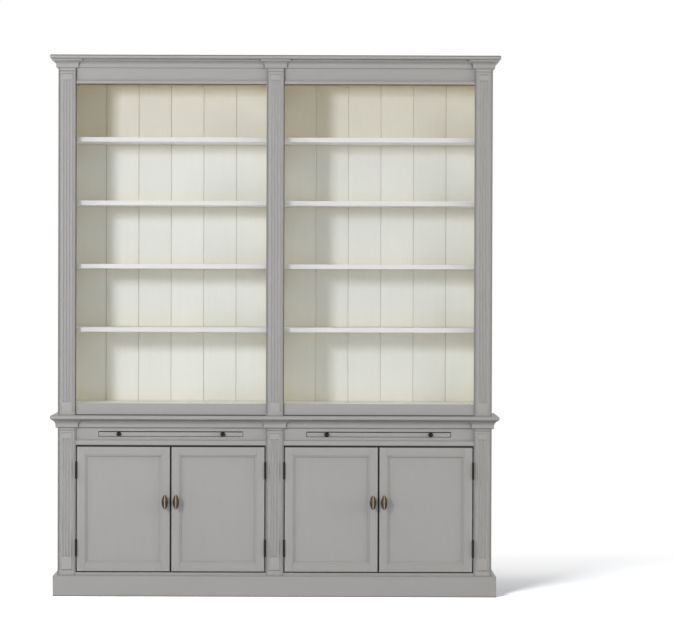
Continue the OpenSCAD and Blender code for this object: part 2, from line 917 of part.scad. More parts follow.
module upper_pilaster_right() {
    color(paint) in_frame() translate([-bay_x0, 0, 0]) upper_pilaster(outer_pilaster_w);
}

module upper_rails() {
    color(paint) in_frame() both_sides() {
        board([bay_x0, sill_setback, slab_top], [bay_x1, face_t, sill_z]);
        board([bay_x0, 0, head_z], [bay_x1, face_t, head_rail_top]);
    }
}

module upper_friezes() {
    color(paint) in_frame() both_sides()
        board([bay_x0, frieze_setback, head_rail_top], [bay_x1, face_t, upper_h]);
}

module cornice_moulding() {
    color(paint) in_frame() translate([0, 0, upper_h])
        breakfront(crown_reach, cornice_moulding_h) cornice_section();
}

// A cap section from x0 to x1 with chamfered ends
module chamfered_section(x0, x1, t, c) {
    polygon([
        [x0 + c, 0], [x1 - c, 0], [x1, c], [x1, t - c],
        [x1 - c, t], [x0 + c, t], [x0, t - c], [x0, c]
    ]);
}

module cornice_cap() {
    color(paint) in_frame() translate([0, 0, upper_h]) intersection() {
        translate([0, carcass_d, 0])
            rotate([90, 0, 0])
                linear_extrude(carcass_d + overhang)
                    chamfered_section(-half_w - overhang, half_w + overhang, cap_t, cap_chamfer);
        translate([-half_w - overhang, 0, 0])
            rotate([90, 0, 90])
                linear_extrude(carcass_w + 2 * overhang)
                    chamfered_section(-overhang, carcass_d + 2 * cap_chamfer, cap_t, cap_chamfer);
    }
}

module shelves() {
    for (i = [0 : shelf_count - 1])
        board(
            [-inner_x + shelf_play, shelf_setback, shelf_top(i) - shelf_t],
            [-partition_x - shelf_play, shelf_end, shelf_top(i)]
        );
}

module shelves_left() {
    color(cream) in_frame() shelves();
}

module shelves_right() {
    color(cream) in_frame() mirror([1, 0, 0]) shelves();
}

module shelf_pins() {
    color(steel) in_frame() {
        all_shelf_pins(shelf_pin_r, shelf_pin_l);
        all_cupboard_pins(shelf_pin_r, shelf_pin_l);
    }
}

module locating_dowels() {
    color(beech) in_frame() all_dowels(dowel_r, dowel_depth);
}

plinth();
base_sides();
base_partition();
base_floor();
base_back();
base_pilaster_left();
base_pilaster_centre();
base_pilaster_right();
base_rails();
base_friezes();
door_stops();
door_catches();
slide_guides();
cupboard_shelves();
waist_slab();
waist_moulding();
hinge_fixed_leaves();
hinge_pins();
upper_sides();
upper_partition();
upper_floor();
upper_top();
back_boards_left();
back_boards_right();
upper_pilaster_left();
upper_pilaster_centre();
upper_pilaster_right();
upper_rails();
upper_friezes();
cornice_moulding();
cornice_cap();
shelves_left();
shelves_right();
shelf_pins();
locating_dowels();
door_1_frame();
door_1_panel();
door_1_bead();
door_1_knob();
door_1_fittings();
door_2_frame();
door_2_panel();
door_2_bead();
door_2_knob();
door_2_fittings();
door_3_frame();
door_3_panel();
door_3_bead();
door_3_knob();
door_3_fittings();
door_4_frame();
door_4_panel();
door_4_bead();
door_4_knob();
door_4_fittings();
slide_left_board();
slide_left_knobs();
slide_right_board();
slide_right_knobs();
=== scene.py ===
"""Looks of the breakfront bookcase: its paint, metal and timber, and the studio round it."""
import json
import math
from fnmatch import fnmatchcase

import bpy
from mathutils import Matrix, Vector


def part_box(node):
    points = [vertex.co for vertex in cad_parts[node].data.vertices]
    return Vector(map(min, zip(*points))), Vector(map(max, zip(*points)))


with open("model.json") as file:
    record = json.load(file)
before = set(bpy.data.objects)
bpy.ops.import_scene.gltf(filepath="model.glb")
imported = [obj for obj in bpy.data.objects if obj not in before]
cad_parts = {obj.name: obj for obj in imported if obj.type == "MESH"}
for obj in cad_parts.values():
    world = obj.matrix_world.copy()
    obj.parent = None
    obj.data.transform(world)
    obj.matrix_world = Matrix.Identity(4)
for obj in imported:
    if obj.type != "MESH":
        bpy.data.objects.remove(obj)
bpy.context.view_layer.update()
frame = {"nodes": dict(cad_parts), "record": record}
NODES = frame["nodes"]

# The plane of the cabinet's face, from which the camera and the lamps are placed
FACE_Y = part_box("upper_pilaster_centre")[0].y


# Node building

VALUE = "NodeSocketFloat"
COLOUR = "NodeSocketColor"


class Tree:
    """Adds nodes to a tree, setting and linking their inputs in one call."""

    def __init__(self, node_tree):
        self.tree = node_tree

    def feed(self, socket, value):
        """Sets a socket to a number or a colour, or links another socket to it."""
        if isinstance(value, bpy.types.NodeSocket):
            self.tree.links.new(value, socket)
        elif socket.type == "RGBA" and len(value) == 3:
            socket.default_value = (*value, 1)
        else:
            socket.default_value = value

    def add(self, kind, inputs=None, settings=None, **named):
        node = self.tree.nodes.new("ShaderNode" + kind)
        for key, value in (settings or {}).items():
            setattr(node, key, value)
        for key, value in {**(inputs or {}), **named}.items():
            self.feed(node.inputs[key], value)
        return node

    def math(self, operation, *values):
        return self.add("Math", dict(enumerate(values)), {"operation": operation}).outputs[0]

    def vector(self, operation, *values):
        node = self.add("VectorMath", dict(enumerate(values)), {"operation": operation})
        return node.outputs["Value" if operation in ("DOT_PRODUCT", "LENGTH") else "Vector"]

    def scale(self, vector, factor):
        return self.add("VectorMath", {0: vector, "Scale": factor}, {"operation": "SCALE"}).outputs[0]

    def split(self, vector):
        """The X, Y and Z of a vector."""
        return self.add("SeparateXYZ", {0: vector}).outputs

    def either(self, a, b):
        """The stronger of two masks."""
        return self.math("MAXIMUM", a, b)

    def centred(self, value):
        """A value of 0 to 1, moved to lie about 0."""
        return self.math("SUBTRACT", value, 0.5)

    def vary(self, value, amount, base):
        """base, moved by amount times a value."""
        return self.math("MULTIPLY_ADD", value, amount, base)

    def choose(self, share, a, b):
        """The number a where share is 0, and b where it is 1."""
        return self.add("Mix", {0: share, 2: a, 3: b}).outputs[0]

    def mix(self, share, a, b):
        """The colour a where share is 0, and b where it is 1."""
        return self.add("Mix", {0: share, 6: a, 7: b}, {"data_type": "RGBA"}).outputs[2]

    def spread(self, value, low, high, to_low=0.0, to_high=1.0):
        """Maps low..high of a value to to_low..to_high, smoothly."""
        return self.add("MapRange", {0: value, 1: low, 2: high, 3: to_low, 4: to_high},
                        {"interpolation_type": "SMOOTHSTEP"}).outputs[0]

    def place(self):
        """The point of the surface, in metres."""
        return self.add("TexCoord").outputs["Object"]

    def attribute(self, name, output):
        return self.add("Attribute", settings={"attribute_name": name}).outputs[output]

    def noise(self, place, scale, detail, roughness=0.5):
        node = self.add("TexNoise", Vector=place, Scale=scale, Detail=detail, Roughness=roughness)
        return node.outputs[0]

    def group(self, built, settings):
        """Places a group with its own settings, and returns what it puts out."""
        node = self.tree.nodes.new("ShaderNodeGroup")
        node.node_tree = built
        for label, value in settings.items():
            self.feed(node.inputs[label], value)
        return node.outputs

    def mask(self, built, settings):
        return self.group(built, settings)["Mask"]


def empty_tree(owner):
    """The node tree of a material or a world, with nothing in it yet."""
    owner.use_nodes = True
    owner.node_tree.nodes.clear()
    return Tree(owner.node_tree)


def seen_directly(tree):
    """1 for a ray from the camera or one that metal or glass sends on, and 0 for the rest."""
    path = tree.add("LightPath")
    seen = tree.either(path.outputs["Is Camera Ray"], path.outputs["Is Glossy Ray"])
    return tree.either(seen, path.outputs["Is Transmission Ray"])


# Studio

# Camera: its place in metres, its turns in radians, and its lens and sensor in millimetres
CAMERA_DISTANCE = 16.428
CAMERA_X = 0.154
CAMERA_Z = 1.4041
CAMERA_PITCH = 0.0133
CAMERA_ROLL = 0.0029
CAMERA_LENS = 198.3
CAMERA_SENSOR = 36.0
CAMERA_SHIFT = (0.0397, 0.0141)
CAMERA_CLIP_END = 60.0

# Each softbox: its place from the middle of the cabinet's face at the floor, its width and
# height, and the share of a plain level that it gives
SOFTBOXES = {
    "key_lamp": ((-2.98, -5.65, 2.46), (0.67, 0.76), 0.32),
    "front_lamp": ((0.0, -6.0, 1.3), (2.0, 2.0), 0.03),
    "right_lamp": ((3.44, -4.91, 4.0), (2.0, 2.0), 0.09),
    "side_lamp": ((5.64, -2.05, 1.7), (2.0, 3.0), 0.095),
    "left_lamp": ((-5.64, -2.05, 1.2), (2.0, 2.0), 0.035),
    "high_lamp": ((-5.64, -2.05, 9.8), (2.0, 2.0), 0.05),
}
SOFTBOX_AIM_Z = 1.25
KEY_TINT = (0.985, 1.0, 1.035)
FILL_TINT = (1.0, 0.975, 0.925)
WORLD_LEVEL = 0.27

# Floor: its half width, its paint, the light that it gives of its own, and what it bounces back
FLOOR_HALF = 9.0
FLOOR_PAINT = (0.77, 0.79, 0.84)
FLOOR_LIFT = 0.175
FLOOR_LIFT_TINT = (0.98, 1, 1.04)
FLOOR_BOUNCE = (0.3, 0.3, 0.3)

# Where the floor starts to fade into plain white and where it is all white, in metres from its
# middle: all round, and towards the back
FADE_START = 2.6
FADE_END = 4.2
SHADOW_START = 0.1
SHADOW_END = 2.5

# The lamp that draws the cabinet's shadow on the floor, written as a softbox, and what it aims at
FLOOR_LAMP = ((-3.2, -10.0, 6.0), (2.2, 2.2), 0.78)
FLOOR_LAMP_AIM = (0.8, 0.0, 0.0)

UP = (0, 0, 1)
FORWARDS = (0, -1, 0)
WHITE_LIGHT = (1, 1, 1)


def add_camera():
    data = bpy.data.cameras.new("camera")
    data.lens = CAMERA_LENS
    data.sensor_width = CAMERA_SENSOR
    data.shift_x, data.shift_y = CAMERA_SHIFT
    data.clip_end = CAMERA_CLIP_END
    camera = bpy.data.objects.new("camera", data)
    bpy.context.collection.objects.link(camera)
    pitch = Matrix.Rotation(math.pi / 2 - CAMERA_PITCH, 4, "X")
    roll = Matrix.Rotation(CAMERA_ROLL, 4, "Z")
    place = Vector((CAMERA_X, FACE_Y - CAMERA_DISTANCE, CAMERA_Z))
    camera.matrix_world = Matrix.Translation(place) @ (pitch @ roll)
    bpy.context.scene.camera = camera


def add_softbox(name, offset, size, level, aim, facing):
    """A rectangular lamp. level is the share of a plain level that it gives to a face at its aim
    that looks along facing."""
    data = bpy.data.lights.new(name, "AREA")
    data.shape = "RECTANGLE"
    data.size, data.size_y = size
    place = Vector((0, FACE_Y, 0)) + Vector(offset)
    reach = Vector(aim) - place
    slant = -reach.normalized().dot(Vector(facing))
    data.energy = level * math.pi ** 2 * reach.length_squared / slant
    lamp = bpy.data.objects.new(name, data)
    bpy.context.collection.objects.link(lamp)
    turn = reach.to_track_quat("-Z", "Y").to_matrix().to_4x4()
    lamp.matrix_world = Matrix.Translation(place) @ turn
    return lamp


def add_lamps():
    aim = (0, FACE_Y, SOFTBOX_AIM_Z)
    for name, (offset, size, level) in SOFTBOXES.items():
        lamp = add_softbox(name, offset, size, level, aim, FORWARDS)
        lamp.data.color = KEY_TINT if name == "key_lamp" else FILL_TINT


def light_world():
    """An even fill, which the camera and mirror-like rays see as plain white."""
    world = bpy.data.worlds.new("studio")
    bpy.context.scene.world = world
    tree = empty_tree(world)
    fill = tree.add("Background", Color=FILL_TINT, Strength=WORLD_LEVEL)
    white = tree.add("Background", Color=WHITE_LIGHT, Strength=1.0)
    mix = tree.add("MixShader", {0: seen_directly(tree), 1: fill.outputs[0], 2: white.outputs[0]})
    tree.add("OutputWorld", Surface=mix.outputs[0])


def floor_material():
    """White floor that shows the shadow and fades into the white round it."""
    material = bpy.data.materials.new("studio_floor")
    tree = empty_tree(material)
    matt = tree.add("BsdfDiffuse", Color=FLOOR_PAINT)
    lift = tree.add("Emission", Color=FLOOR_LIFT_TINT, Strength=FLOOR_LIFT)
    lifted = tree.add("AddShader", {0: matt.outputs[0], 1: lift.outputs[0]})
    white = tree.add("Emission", Color=WHITE_LIGHT, Strength=1.0)
    place = tree.place()
    around = tree.spread(tree.vector("LENGTH", place), low=FADE_START, high=FADE_END)
    depth = tree.split(place)["Y"]
    behind = tree.add("MapRange", {0: depth, 1: SHADOW_START, 2: SHADOW_END}).outputs[0]
    far = tree.either(around, behind)
    shown = tree.add("MixShader", {0: far, 1: lifted.outputs[0], 2: white.outputs[0]})
    bounce = tree.add("BsdfDiffuse", Color=FLOOR_BOUNCE)
    mix = tree.add("MixShader", {0: seen_directly(tree), 1: bounce.outputs[0], 2: shown.outputs[0]})
    tree.add("OutputMaterial", Surface=mix.outputs[0])
    return material


def add_floor():
    mesh = bpy.data.meshes.new("studio_floor")
    corners = [(-1, -1), (1, -1), (1, 1), (-1, 1)]
    mesh.from_pydata([(x * FLOOR_HALF, y * FLOOR_HALF, 0) for x, y in corners], [], [(0, 1, 2, 3)])
    mesh.materials.append(floor_material())
    floor = bpy.data.objects.new("studio_floor", mesh)
    bpy.context.collection.objects.link(floor)
    light_floor(floor)


def light_floor(floor):
    """A lamp for the floor alone, which draws the cabinet's shadow on it."""
    lamp = add_softbox("floor_lamp", *FLOOR_LAMP, FLOOR_LAMP_AIM, UP)
    lit = bpy.data.collections.new("lit_floor")
    lit.objects.link(floor)
    lamp.light_linking.receiver_collection = lit


# Shader groups

# What sets one board off from the next: the step of its pattern, and of its shade
BOARD_SHIFT = 7.31
BOARD_SHADE_STEP = 0.618

# The share of fine marks in the brushing, beside the broad ones
FINE_BRUSHING = 0.6


def new_group(name, inputs, outputs):
    """A shader group. inputs gives the default of each input, and outputs the kind of each output."""
    built = bpy.data.node_groups.new(name, "ShaderNodeTree")
    for label, default in inputs.items():
        kind = COLOUR if isinstance(default, tuple) else VALUE
        socket = built.interface.new_socket(label, in_out="INPUT", socket_type=kind)
        socket.default_value = default
    for label, kind in outputs.items():
        built.interface.new_socket(label, in_out="OUTPUT", socket_type=kind)
    given = built.nodes.new("NodeGroupInput").outputs
    result = built.nodes.new("NodeGroupOutput").inputs
    return built, Tree(built), given, result


def board_number(tree):
    return tree.attribute("board_number", "Fac")


def board_half(tree):
    return tree.attribute("board_half", "Vector")


def board_offset(tree):
    """The point of the surface, from its board's middle."""
    return tree.vector("SUBTRACT", tree.place(), tree.attribute("board_middle", "Vector"))


def along_board(tree, across, along):
    """Coordinates stretched along each board's length, offset from board to board."""
    long_axis = tree.attribute("board_axis", "Vector")
    other_axes = tree.vector("SUBTRACT", (1, 1, 1), long_axis)
    stretch = tree.vector("ADD", tree.scale(other_axes, across), tree.scale(long_axis, along))
    shift = tree.math("MULTIPLY", board_number(tree), BOARD_SHIFT)
    shifts = tree.add("CombineXYZ", {0: shift, 1: shift, 2: shift}).outputs[0]
    return tree.vector("ADD", tree.vector("MULTIPLY", tree.place(), stretch), shifts)


def wood_figure_group():
    """Growth rings and flecks of plain timber, along each board."""
    built, tree, given, result = new_group(
        "wood_figure",
        {"Across": 70.0, "Along": 5.0},
        {"Figure": VALUE, "Flecks": VALUE})
    place = along_board(tree, given["Across"], given["Along"])
    flecks = tree.noise(place, scale=9.0, detail=2.0)
    tree.feed(result["Figure"], tree.noise(place, scale=1.0, detail=6.0, roughness=0.6))
    tree.feed(result["Flecks"], tree.spread(flecks, low=0.6, high=0.75))
    return built


def brush_marks_group():
    """Height of the brush marks that run along each board, about 0."""
    built, tree, given, result = new_group(
        "brush_marks",
        {"Across": 60.0, "Along": 3.0, "Strength": 1.0},
        {"Height": VALUE})
    place = along_board(tree, given["Across"], given["Along"])
    fine = tree.noise(place, scale=7.0, detail=3.0, roughness=0.55)
    broad = tree.noise(place, scale=1.3, detail=2.0)
    broad_share = tree.math("MULTIPLY", broad, 1.0 - FINE_BRUSHING)
    marks = tree.vary(fine, amount=FINE_BRUSHING, base=broad_share)
    tree.feed(result["Height"], tree.math("MULTIPLY", tree.centred(marks), given["Strength"]))
    return built


def edge_wear_and_shade_group():
    """A mask of darker edges: paint rubbed thin, and painted shade. Sides is its share at every edge,
    and
    Tops and Undersides are its shares of painted shade where a face looks up or down at an edge or a
    slope. Level faces have only the first."""
    built, tree, given, result = new_group(
        "edge_wear_and_shade",
        {"Radius": 0.004, "Sides": 0.2, "Tops": 0.2, "Undersides": 0.2},
        {"Mask": VALUE})
    eased = tree.add("Bevel", settings={"samples": 4}, Radius=given["Radius"]).outputs[0]
    true = tree.add("NewGeometry").outputs["Normal"]
    edge = tree.spread(tree.vector("DOT_PRODUCT", eased, true), low=0.997, high=0.86)
    rise = tree.split(eased)["Z"]
    level = tree.math("ABSOLUTE", tree.split(true)["Z"])
    upper = tree.math("MULTIPLY", tree.spread(rise, low=0.06, high=0.45), given["Tops"])
    lower = tree.math("MULTIPLY", tree.spread(rise, low=-0.1, high=-0.55), given["Undersides"])
    sloping = tree.spread(level, low=0.97, high=0.85)
    across = tree.math("MULTIPLY", tree.either(upper, lower), sloping)
    mask = tree.either(tree.math("MULTIPLY", edge, given["Sides"]), across)
    patches = tree.noise(tree.place(), scale=55.0, detail=4.0, roughness=0.65)
    broken = tree.spread(patches, low=0.3, high=0.6, to_low=0.85)
    tree.feed(result["Mask"], tree.math("MULTIPLY", mask, broken))
    return built


def hollow_shade_group():
    """A mask of painted shade in narrow grooves, gaps and inner corners."""
    built, tree, given, result = new_group(
        "hollow_shade",
        {"Reach": 0.014, "Amount": 0.9, "Open": 0.8, "Deep": 0.2},
        {"Mask": VALUE})
    around = tree.add("AmbientOcclusion", settings={"samples": 8}, Distance=given["Reach"])
    depth = tree.spread(around.outputs["AO"], low=given["Open"], high=given["Deep"])
    tree.feed(result["Mask"], tree.math("MULTIPLY", depth, given["Amount"]))
    return built


def inside_edge(tree, half, off, wanted):
    """How far a point off the middle is inside an edge, in metres, and a metre more where the edge
    isn't wanted."""
    return tree.math("ADD", tree.math("SUBTRACT", half, off), tree.math("SUBTRACT", 1.0, wanted))


def margin_shade_group():
    """A mask of strips set in from a board's own outline: at its sides or its right side alone, and
    at its ends or its lower end alone."""
    built, tree, given, result = new_group(
        "margin_shade",
        {"Width": 0.012, "Amount": 0.4, "Sides": 1.0, "Right Only": 0.0, "Ends": 0.0, "Lower Only": 0.0},
        {"Mask": VALUE})
    off = board_offset(tree)
    place = tree.split(off)
    size = tree.split(tree.vector("ABSOLUTE", off))
    half = tree.split(board_half(tree))
    fall = tree.math("MULTIPLY", place["Z"], -1.0)
    across = tree.choose(given["Right Only"], size["X"], place["X"])
    along = tree.choose(given["Lower Only"], size["Z"], fall)
    side = inside_edge(tree, half["X"], across, given["Sides"])
    end = inside_edge(tree, half["Z"], along, given["Ends"])
    share = tree.math("DIVIDE", tree.math("MINIMUM", side, end), given["Width"])
    strip = tree.spread(share, low=1.0, high=0.35)
    tree.feed(result["Mask"], tree.math("MULTIPLY", strip, given["Amount"]))
    return built


def colour_drift_group():
    """Slow changes of shade over a large surface, a fine mottle, and a step from board to board."""
    built, tree, given, result = new_group(
        "colour_drift",
        {"Colour": (1, 1, 1, 1), "Amount": 0.03},
        {"Colour": COLOUR})
    place = tree.place()
    slow = tree.centred(tree.noise(place, scale=1.7, detail=2.0))
    fine = tree.centred(tree.noise(place, scale=260.0, detail=2.0, roughness=0.6))
    step = tree.math("FRACT", tree.math("MULTIPLY", board_number(tree), BOARD_SHADE_STEP))
    total = tree.math("ADD", tree.math("ADD", slow, tree.centred(step)), fine)
    value = tree.vary(total, amount=given["Amount"], base=1.0)
    tint = tree.add("HueSaturation", Color=given["Colour"], Value=value)
    tree.feed(result["Colour"], tint.outputs[0])
    return built


def shader_groups():
    return {
        "wood": wood_figure_group(),
        "marks": brush_marks_group(),
        "wear_and_shade": edge_wear_and_shade_group(),
        "hollow": hollow_shade_group(),
        "margin": margin_shade_group(),
        "drift": colour_drift_group(),
    }


# Finishes

# Colours: grey outside, cream and white inside, and bare metal and timber
GREY = (0.334, 0.327, 0.322)
# A lighter copy of the grey on the pilasters: painted light that makes up for their painted shade
PILASTER_LIGHTENED_GREY = (0.352, 0.347, 0.342)
# Grey of edges rubbed thin and of painted shade at edges, then of painted shade in hollows
GREY_WORN_AND_SHADED = (0.07, 0.063, 0.055)
GREY_HOLLOW = (0.012, 0.011, 0.009)
CREAM = (0.882, 0.89, 0.84)
IVORY = (0.935, 0.92, 0.81)
# A darker, warmer copy of the ivory for the top board: painted shade under it
TOP_IVORY_SHADED = (0.83, 0.68, 0.42)
CREAM_SHADED = (0.8, 0.68, 0.44)
# Cream of edges rubbed thin and of painted shade at edges, then of painted shade in hollows
CREAM_WORN_AND_SHADED = (0.6, 0.56, 0.46)
CREAM_HOLLOW = (0.33, 0.27, 0.17)
WHITE = (0.89, 0.895, 0.88)
# A darker copy of the white: painted shade on the front edges of the shelves
WHITE_FRONT_SHADED = (0.68, 0.68, 0.68)
BRONZE = (0.034, 0.026, 0.019)
# Rubbed bronze, and the colour of a painted highlight down a knob's middle
BRONZE_RUBBED_AND_HIGHLIGHT = (0.46, 0.35, 0.23)
BRONZE_DARK = (0.012, 0.011, 0.009)
STEEL = (0.5, 0.5, 0.51)
BEECH = (0.55, 0.38, 0.2)
BEECH_DARK = (0.42, 0.27, 0.13)

GREY_ROUGHNESS = 0.48
CREAM_ROUGHNESS = 0.5
COLOUR_DRIFT = 0.045
EDGE_RADIUS = 0.0042

# Brush marks: their scale across and along a board, and their height in metres
BRUSHING = {"Across": 60.0, "Along": 3.0, "Strength": 1.0}
BRUSH_HEIGHT = 0.0004

# Timber: the scale of its figure across and along a board
TIMBER_GRAIN = {"Across": 70.0, "Along": 5.0}

# Shade in hollows: its reach in metres, its strength, and how open the place is where it starts
# and where it is full
CORNER_SHADE = {"Reach": 0.014, "Amount": 0.95, "Open": 0.9, "Deep": 0.28}
GAP_SHADE = {"Reach": 0.014, "Amount": 0.97, "Open": 0.55, "Deep": 0.15}
SLOT_SHADE = {"Reach": 0.008, "Amount": 0.4, "Open": 0.4, "Deep": 0.1}
FLUTE_SHADE = {"Reach": 0.014, "Amount": 0.9, "Open": 0.72, "Deep": 0.15}
CREAM_SHADE = {"Reach": 0.012, "Amount": 0.5, "Open": 0.8, "Deep": 0.2}
WARM_SHADE = {"Reach": 0.12, "Amount": 0.26, "Open": 0.9, "Deep": 0.4}
TIMBER_SHADE = {"Reach": 0.02, "Amount": 0.97, "Open": 0.85, "Deep": 0.35}

# Painted shade in strips along a board's outline: their width in metres, their strength, and the edges
# they keep to, which are both sides where nothing more is said
PILASTER_MARGIN = {"Width": 0.012, "Amount": 0.36}
SHADOW_SIDE = {"Width": 0.005, "Amount": 0.95, "Right Only": 1.0}
FRAME_OUTLINE = {"Width": 0.0026, "Amount": 0.98, "Ends": 1.0}
MOULDING_LIPS = {"Width": 0.005, "Amount": 0.4, "Ends": 1.0}
RAIL_LIP = {"Width": 0.006, "Amount": 0.98, "Sides": 0.0, "Ends": 1.0, "Lower Only": 1.0}


def edge_shares(sides=0.0, tops=0.0, undersides=0.0):
    """Settings of the thin paint and painted shade at every edge, and of the painted shade where faces
    look up and down.
    """
    return {"Radius": EDGE_RADIUS, "Sides": sides, "Tops": tops, "Undersides": undersides}


def new_material(name):
    material = bpy.data.materials.new(name)
    tree = empty_tree(material)
    surface = tree.add("BsdfPrincipled")
    tree.add("OutputMaterial", Surface=surface.outputs[0])
    return material, tree, surface.inputs


def add_bump(tree, surface, height, strength, distance):
    bump = tree.add("Bump", Height=height, Strength=strength, Distance=distance)
    tree.feed(surface["Normal"], bump.outputs[0])


def paint(groups, name, colours, roughness, edges, hollows, margins=(), corners=None):
    """Brushed eggshell paint on boards. colours are its own, that of its edges rubbed thin and painted
    shade, and that of the painted shade in its hollows; edges, hollows and margins are the settings of
    those masks, the last two of painted shade, and corners those of a broad painted warm shade."""
    colour, worn_and_shaded_colour, hollow = colours
    material, tree, surface = new_material(name)
    marks = tree.group(groups["marks"], BRUSHING)["Height"]
    drift = tree.group(groups["drift"], {"Colour": colour, "Amount": COLOUR_DRIFT})["Colour"]
    brushed = tree.scale(drift, tree.vary(marks, amount=0.1, base=1.0))
    if corners:
        brushed = tree.mix(tree.mask(groups["hollow"], corners), brushed, CREAM_SHADED)
    worn_and_shaded = tree.mix(tree.mask(groups["wear_and_shade"], edges), brushed, worn_and_shaded_colour)
    dark = tree.mask(groups["hollow"], hollows)
    for margin in margins:
        dark = tree.either(dark, tree.mask(groups["margin"], margin))
    tree.feed(surface["Base Color"], tree.mix(dark, worn_and_shaded, hollow))
    tree.feed(surface["Roughness"], tree.vary(marks, amount=0.12, base=roughness))
    add_bump(tree, surface, marks, strength=0.25, distance=BRUSH_HEIGHT)
    return material


def board_paints(groups):
    """Grey paint on the flat and moulded boards of the outside, with paint rubbed thin and painted shade
    as each kind of board has them.
    """
    colours = (GREY, GREY_WORN_AND_SHADED, GREY_HOLLOW)
    settings = {
        "grey_paint": (edge_shares(sides=0.2, tops=0.3, undersides=0.35), CORNER_SHADE),
        "cap_paint": (edge_shares(sides=0.4, tops=0.95, undersides=0.3), CORNER_SHADE),
        "slab_paint": (edge_shares(sides=0.25, tops=0.15, undersides=0.3), CORNER_SHADE),
        "waist_paint": (edge_shares(sides=0.3, tops=0.1, undersides=0.4), CORNER_SHADE, [MOULDING_LIPS]),
        "rail_paint": (edge_shares(sides=0.05, undersides=0.9), SLOT_SHADE, [RAIL_LIP]),
        "frieze_paint": (edge_shares(), SLOT_SHADE),
        "door_paint": (edge_shares(sides=0.12, undersides=0.12), GAP_SHADE),
        "door_frame_paint": (edge_shares(sides=0.08, undersides=0.08), GAP_SHADE, [FRAME_OUTLINE]),
    }
    return {name: paint(groups, name, colours, GREY_ROUGHNESS, *each)
            for name, each in settings.items()}


def pilaster_paints(groups):
    """A lighter copy of the grey on the fluted pilasters, painted light that makes up for the painted
    shade in them, with painted shade in darker margins, and a painted shadow at the right side of those
    with an open bay on that side."""
    colours = (PILASTER_LIGHTENED_GREY, GREY_WORN_AND_SHADED, GREY_HOLLOW)
    edges = edge_shares(sides=0.1, undersides=0.3)
    margins = {
        "pilaster_paint": [PILASTER_MARGIN],
        "bay_pilaster_paint": [PILASTER_MARGIN, SHADOW_SIDE],
    }
    return {name: paint(groups, name, colours, GREY_ROUGHNESS, edges, FLUTE_SHADE, each)
            for name, each in margins.items()}


def cream_paints(groups):
    """Cream, ivory and white paint of the inside and the shelves, with painted warm shade in the corners
    of the bays, and darker copies as painted shade on the top board and the front edges of the shelves.
    """
    edges = edge_shares(sides=0.15, tops=0.1, undersides=0.3)
    colours_and_corners = {
        "cream_paint": (CREAM, WARM_SHADE),
        "ivory_paint": (IVORY, None),
        "shaded_top_paint": (TOP_IVORY_SHADED, WARM_SHADE),
        "white_paint": (WHITE, None),
        "shaded_front_paint": (WHITE_FRONT_SHADED, None),
    }
    return {name: paint(groups, name, (colour, CREAM_WORN_AND_SHADED, CREAM_HOLLOW), CREAM_ROUGHNESS, edges,
                        CREAM_SHADE, corners=corners)
            for name, (colour, corners) in colours_and_corners.items()}


def bronze(name, colour, rubbed, crest_highlight):
    """Cast bronze of a dark colour, rubbed bright in patches, with a painted highlight down its middle.
    """
    material, tree, surface = new_material(name)
    place = tree.place()
    cast = tree.noise(place, scale=420.0, detail=4.0, roughness=0.6)
    patches = tree.noise(place, scale=90.0, detail=3.0, roughness=0.55)
    off = tree.vector("DIVIDE", tree.vector("ABSOLUTE", board_offset(tree)), board_half(tree))
    bright = tree.either(tree.spread(patches, low=0.42, high=0.75, to_high=rubbed),
                         tree.spread(tree.split(off)["X"], low=0.22, high=0.04, to_high=crest_highlight))
    broken = tree.spread(cast, low=0.35, high=0.6, to_low=0.55)
    rubs_and_highlight = tree.math("MULTIPLY", bright, broken)
    tree.feed(surface["Base Color"], tree.mix(rubs_and_highlight, colour, BRONZE_RUBBED_AND_HIGHLIGHT))
    tree.feed(surface["Metallic"], 0.6)
    tree.feed(surface["Specular IOR Level"], 0.25)
    tree.feed(surface["Roughness"], tree.vary(patches, amount=0.2, base=0.32))
    add_bump(tree, surface, cast, strength=0.3, distance=0.0005)
    return material


def steel():
    """Plated steel with fine lines, drawn from side to side."""
    material, tree, surface = new_material("steel")
    drawn = tree.add("Mapping", Vector=tree.place(), Scale=(40, 900, 900)).outputs[0]
    lines = tree.noise(drawn, scale=1.0, detail=3.0)
    tree.feed(surface["Base Color"], STEEL)
    tree.feed(surface["Metallic"], 1.0)
    tree.feed(surface["Roughness"], tree.vary(lines, amount=0.2, base=0.25))
    add_bump(tree, surface, lines, strength=0.15, distance=0.0003)
    return material


def beech(groups):
    """Plain unfinished beech, with short dark flecks along its grain and painted shade in its hollows.
    """
    material, tree, surface = new_material("bare_wood")
    wood = tree.group(groups["wood"], TIMBER_GRAIN)
    flecks = tree.math("MULTIPLY", wood["Flecks"], 0.5)
    grained = tree.mix(tree.spread(wood["Figure"], low=0.35, high=0.7), BEECH, BEECH_DARK)
    flecked = tree.mix(flecks, grained, BEECH_DARK)
    shade = tree.mask(groups["hollow"], TIMBER_SHADE)
    tree.feed(surface["Base Color"], tree.mix(shade, flecked, GREY_HOLLOW))
    tree.feed(surface["Roughness"], 0.6)
    add_bump(tree, surface, wood["Figure"], strength=0.2, distance=0.0004)
    return material


def unpainted(groups):
    """The door knobs, the darker small bronze, the steel and the bare timber."""
    return {
        "aged_bronze": bronze("aged_bronze", BRONZE, rubbed=0.16, crest_highlight=0.8),
        "dark_bronze": bronze("dark_bronze", BRONZE_DARK, rubbed=0.03, crest_highlight=0.0),
        "steel": steel(),
        "bare_wood": beech(groups),
    }


# CAD nodes

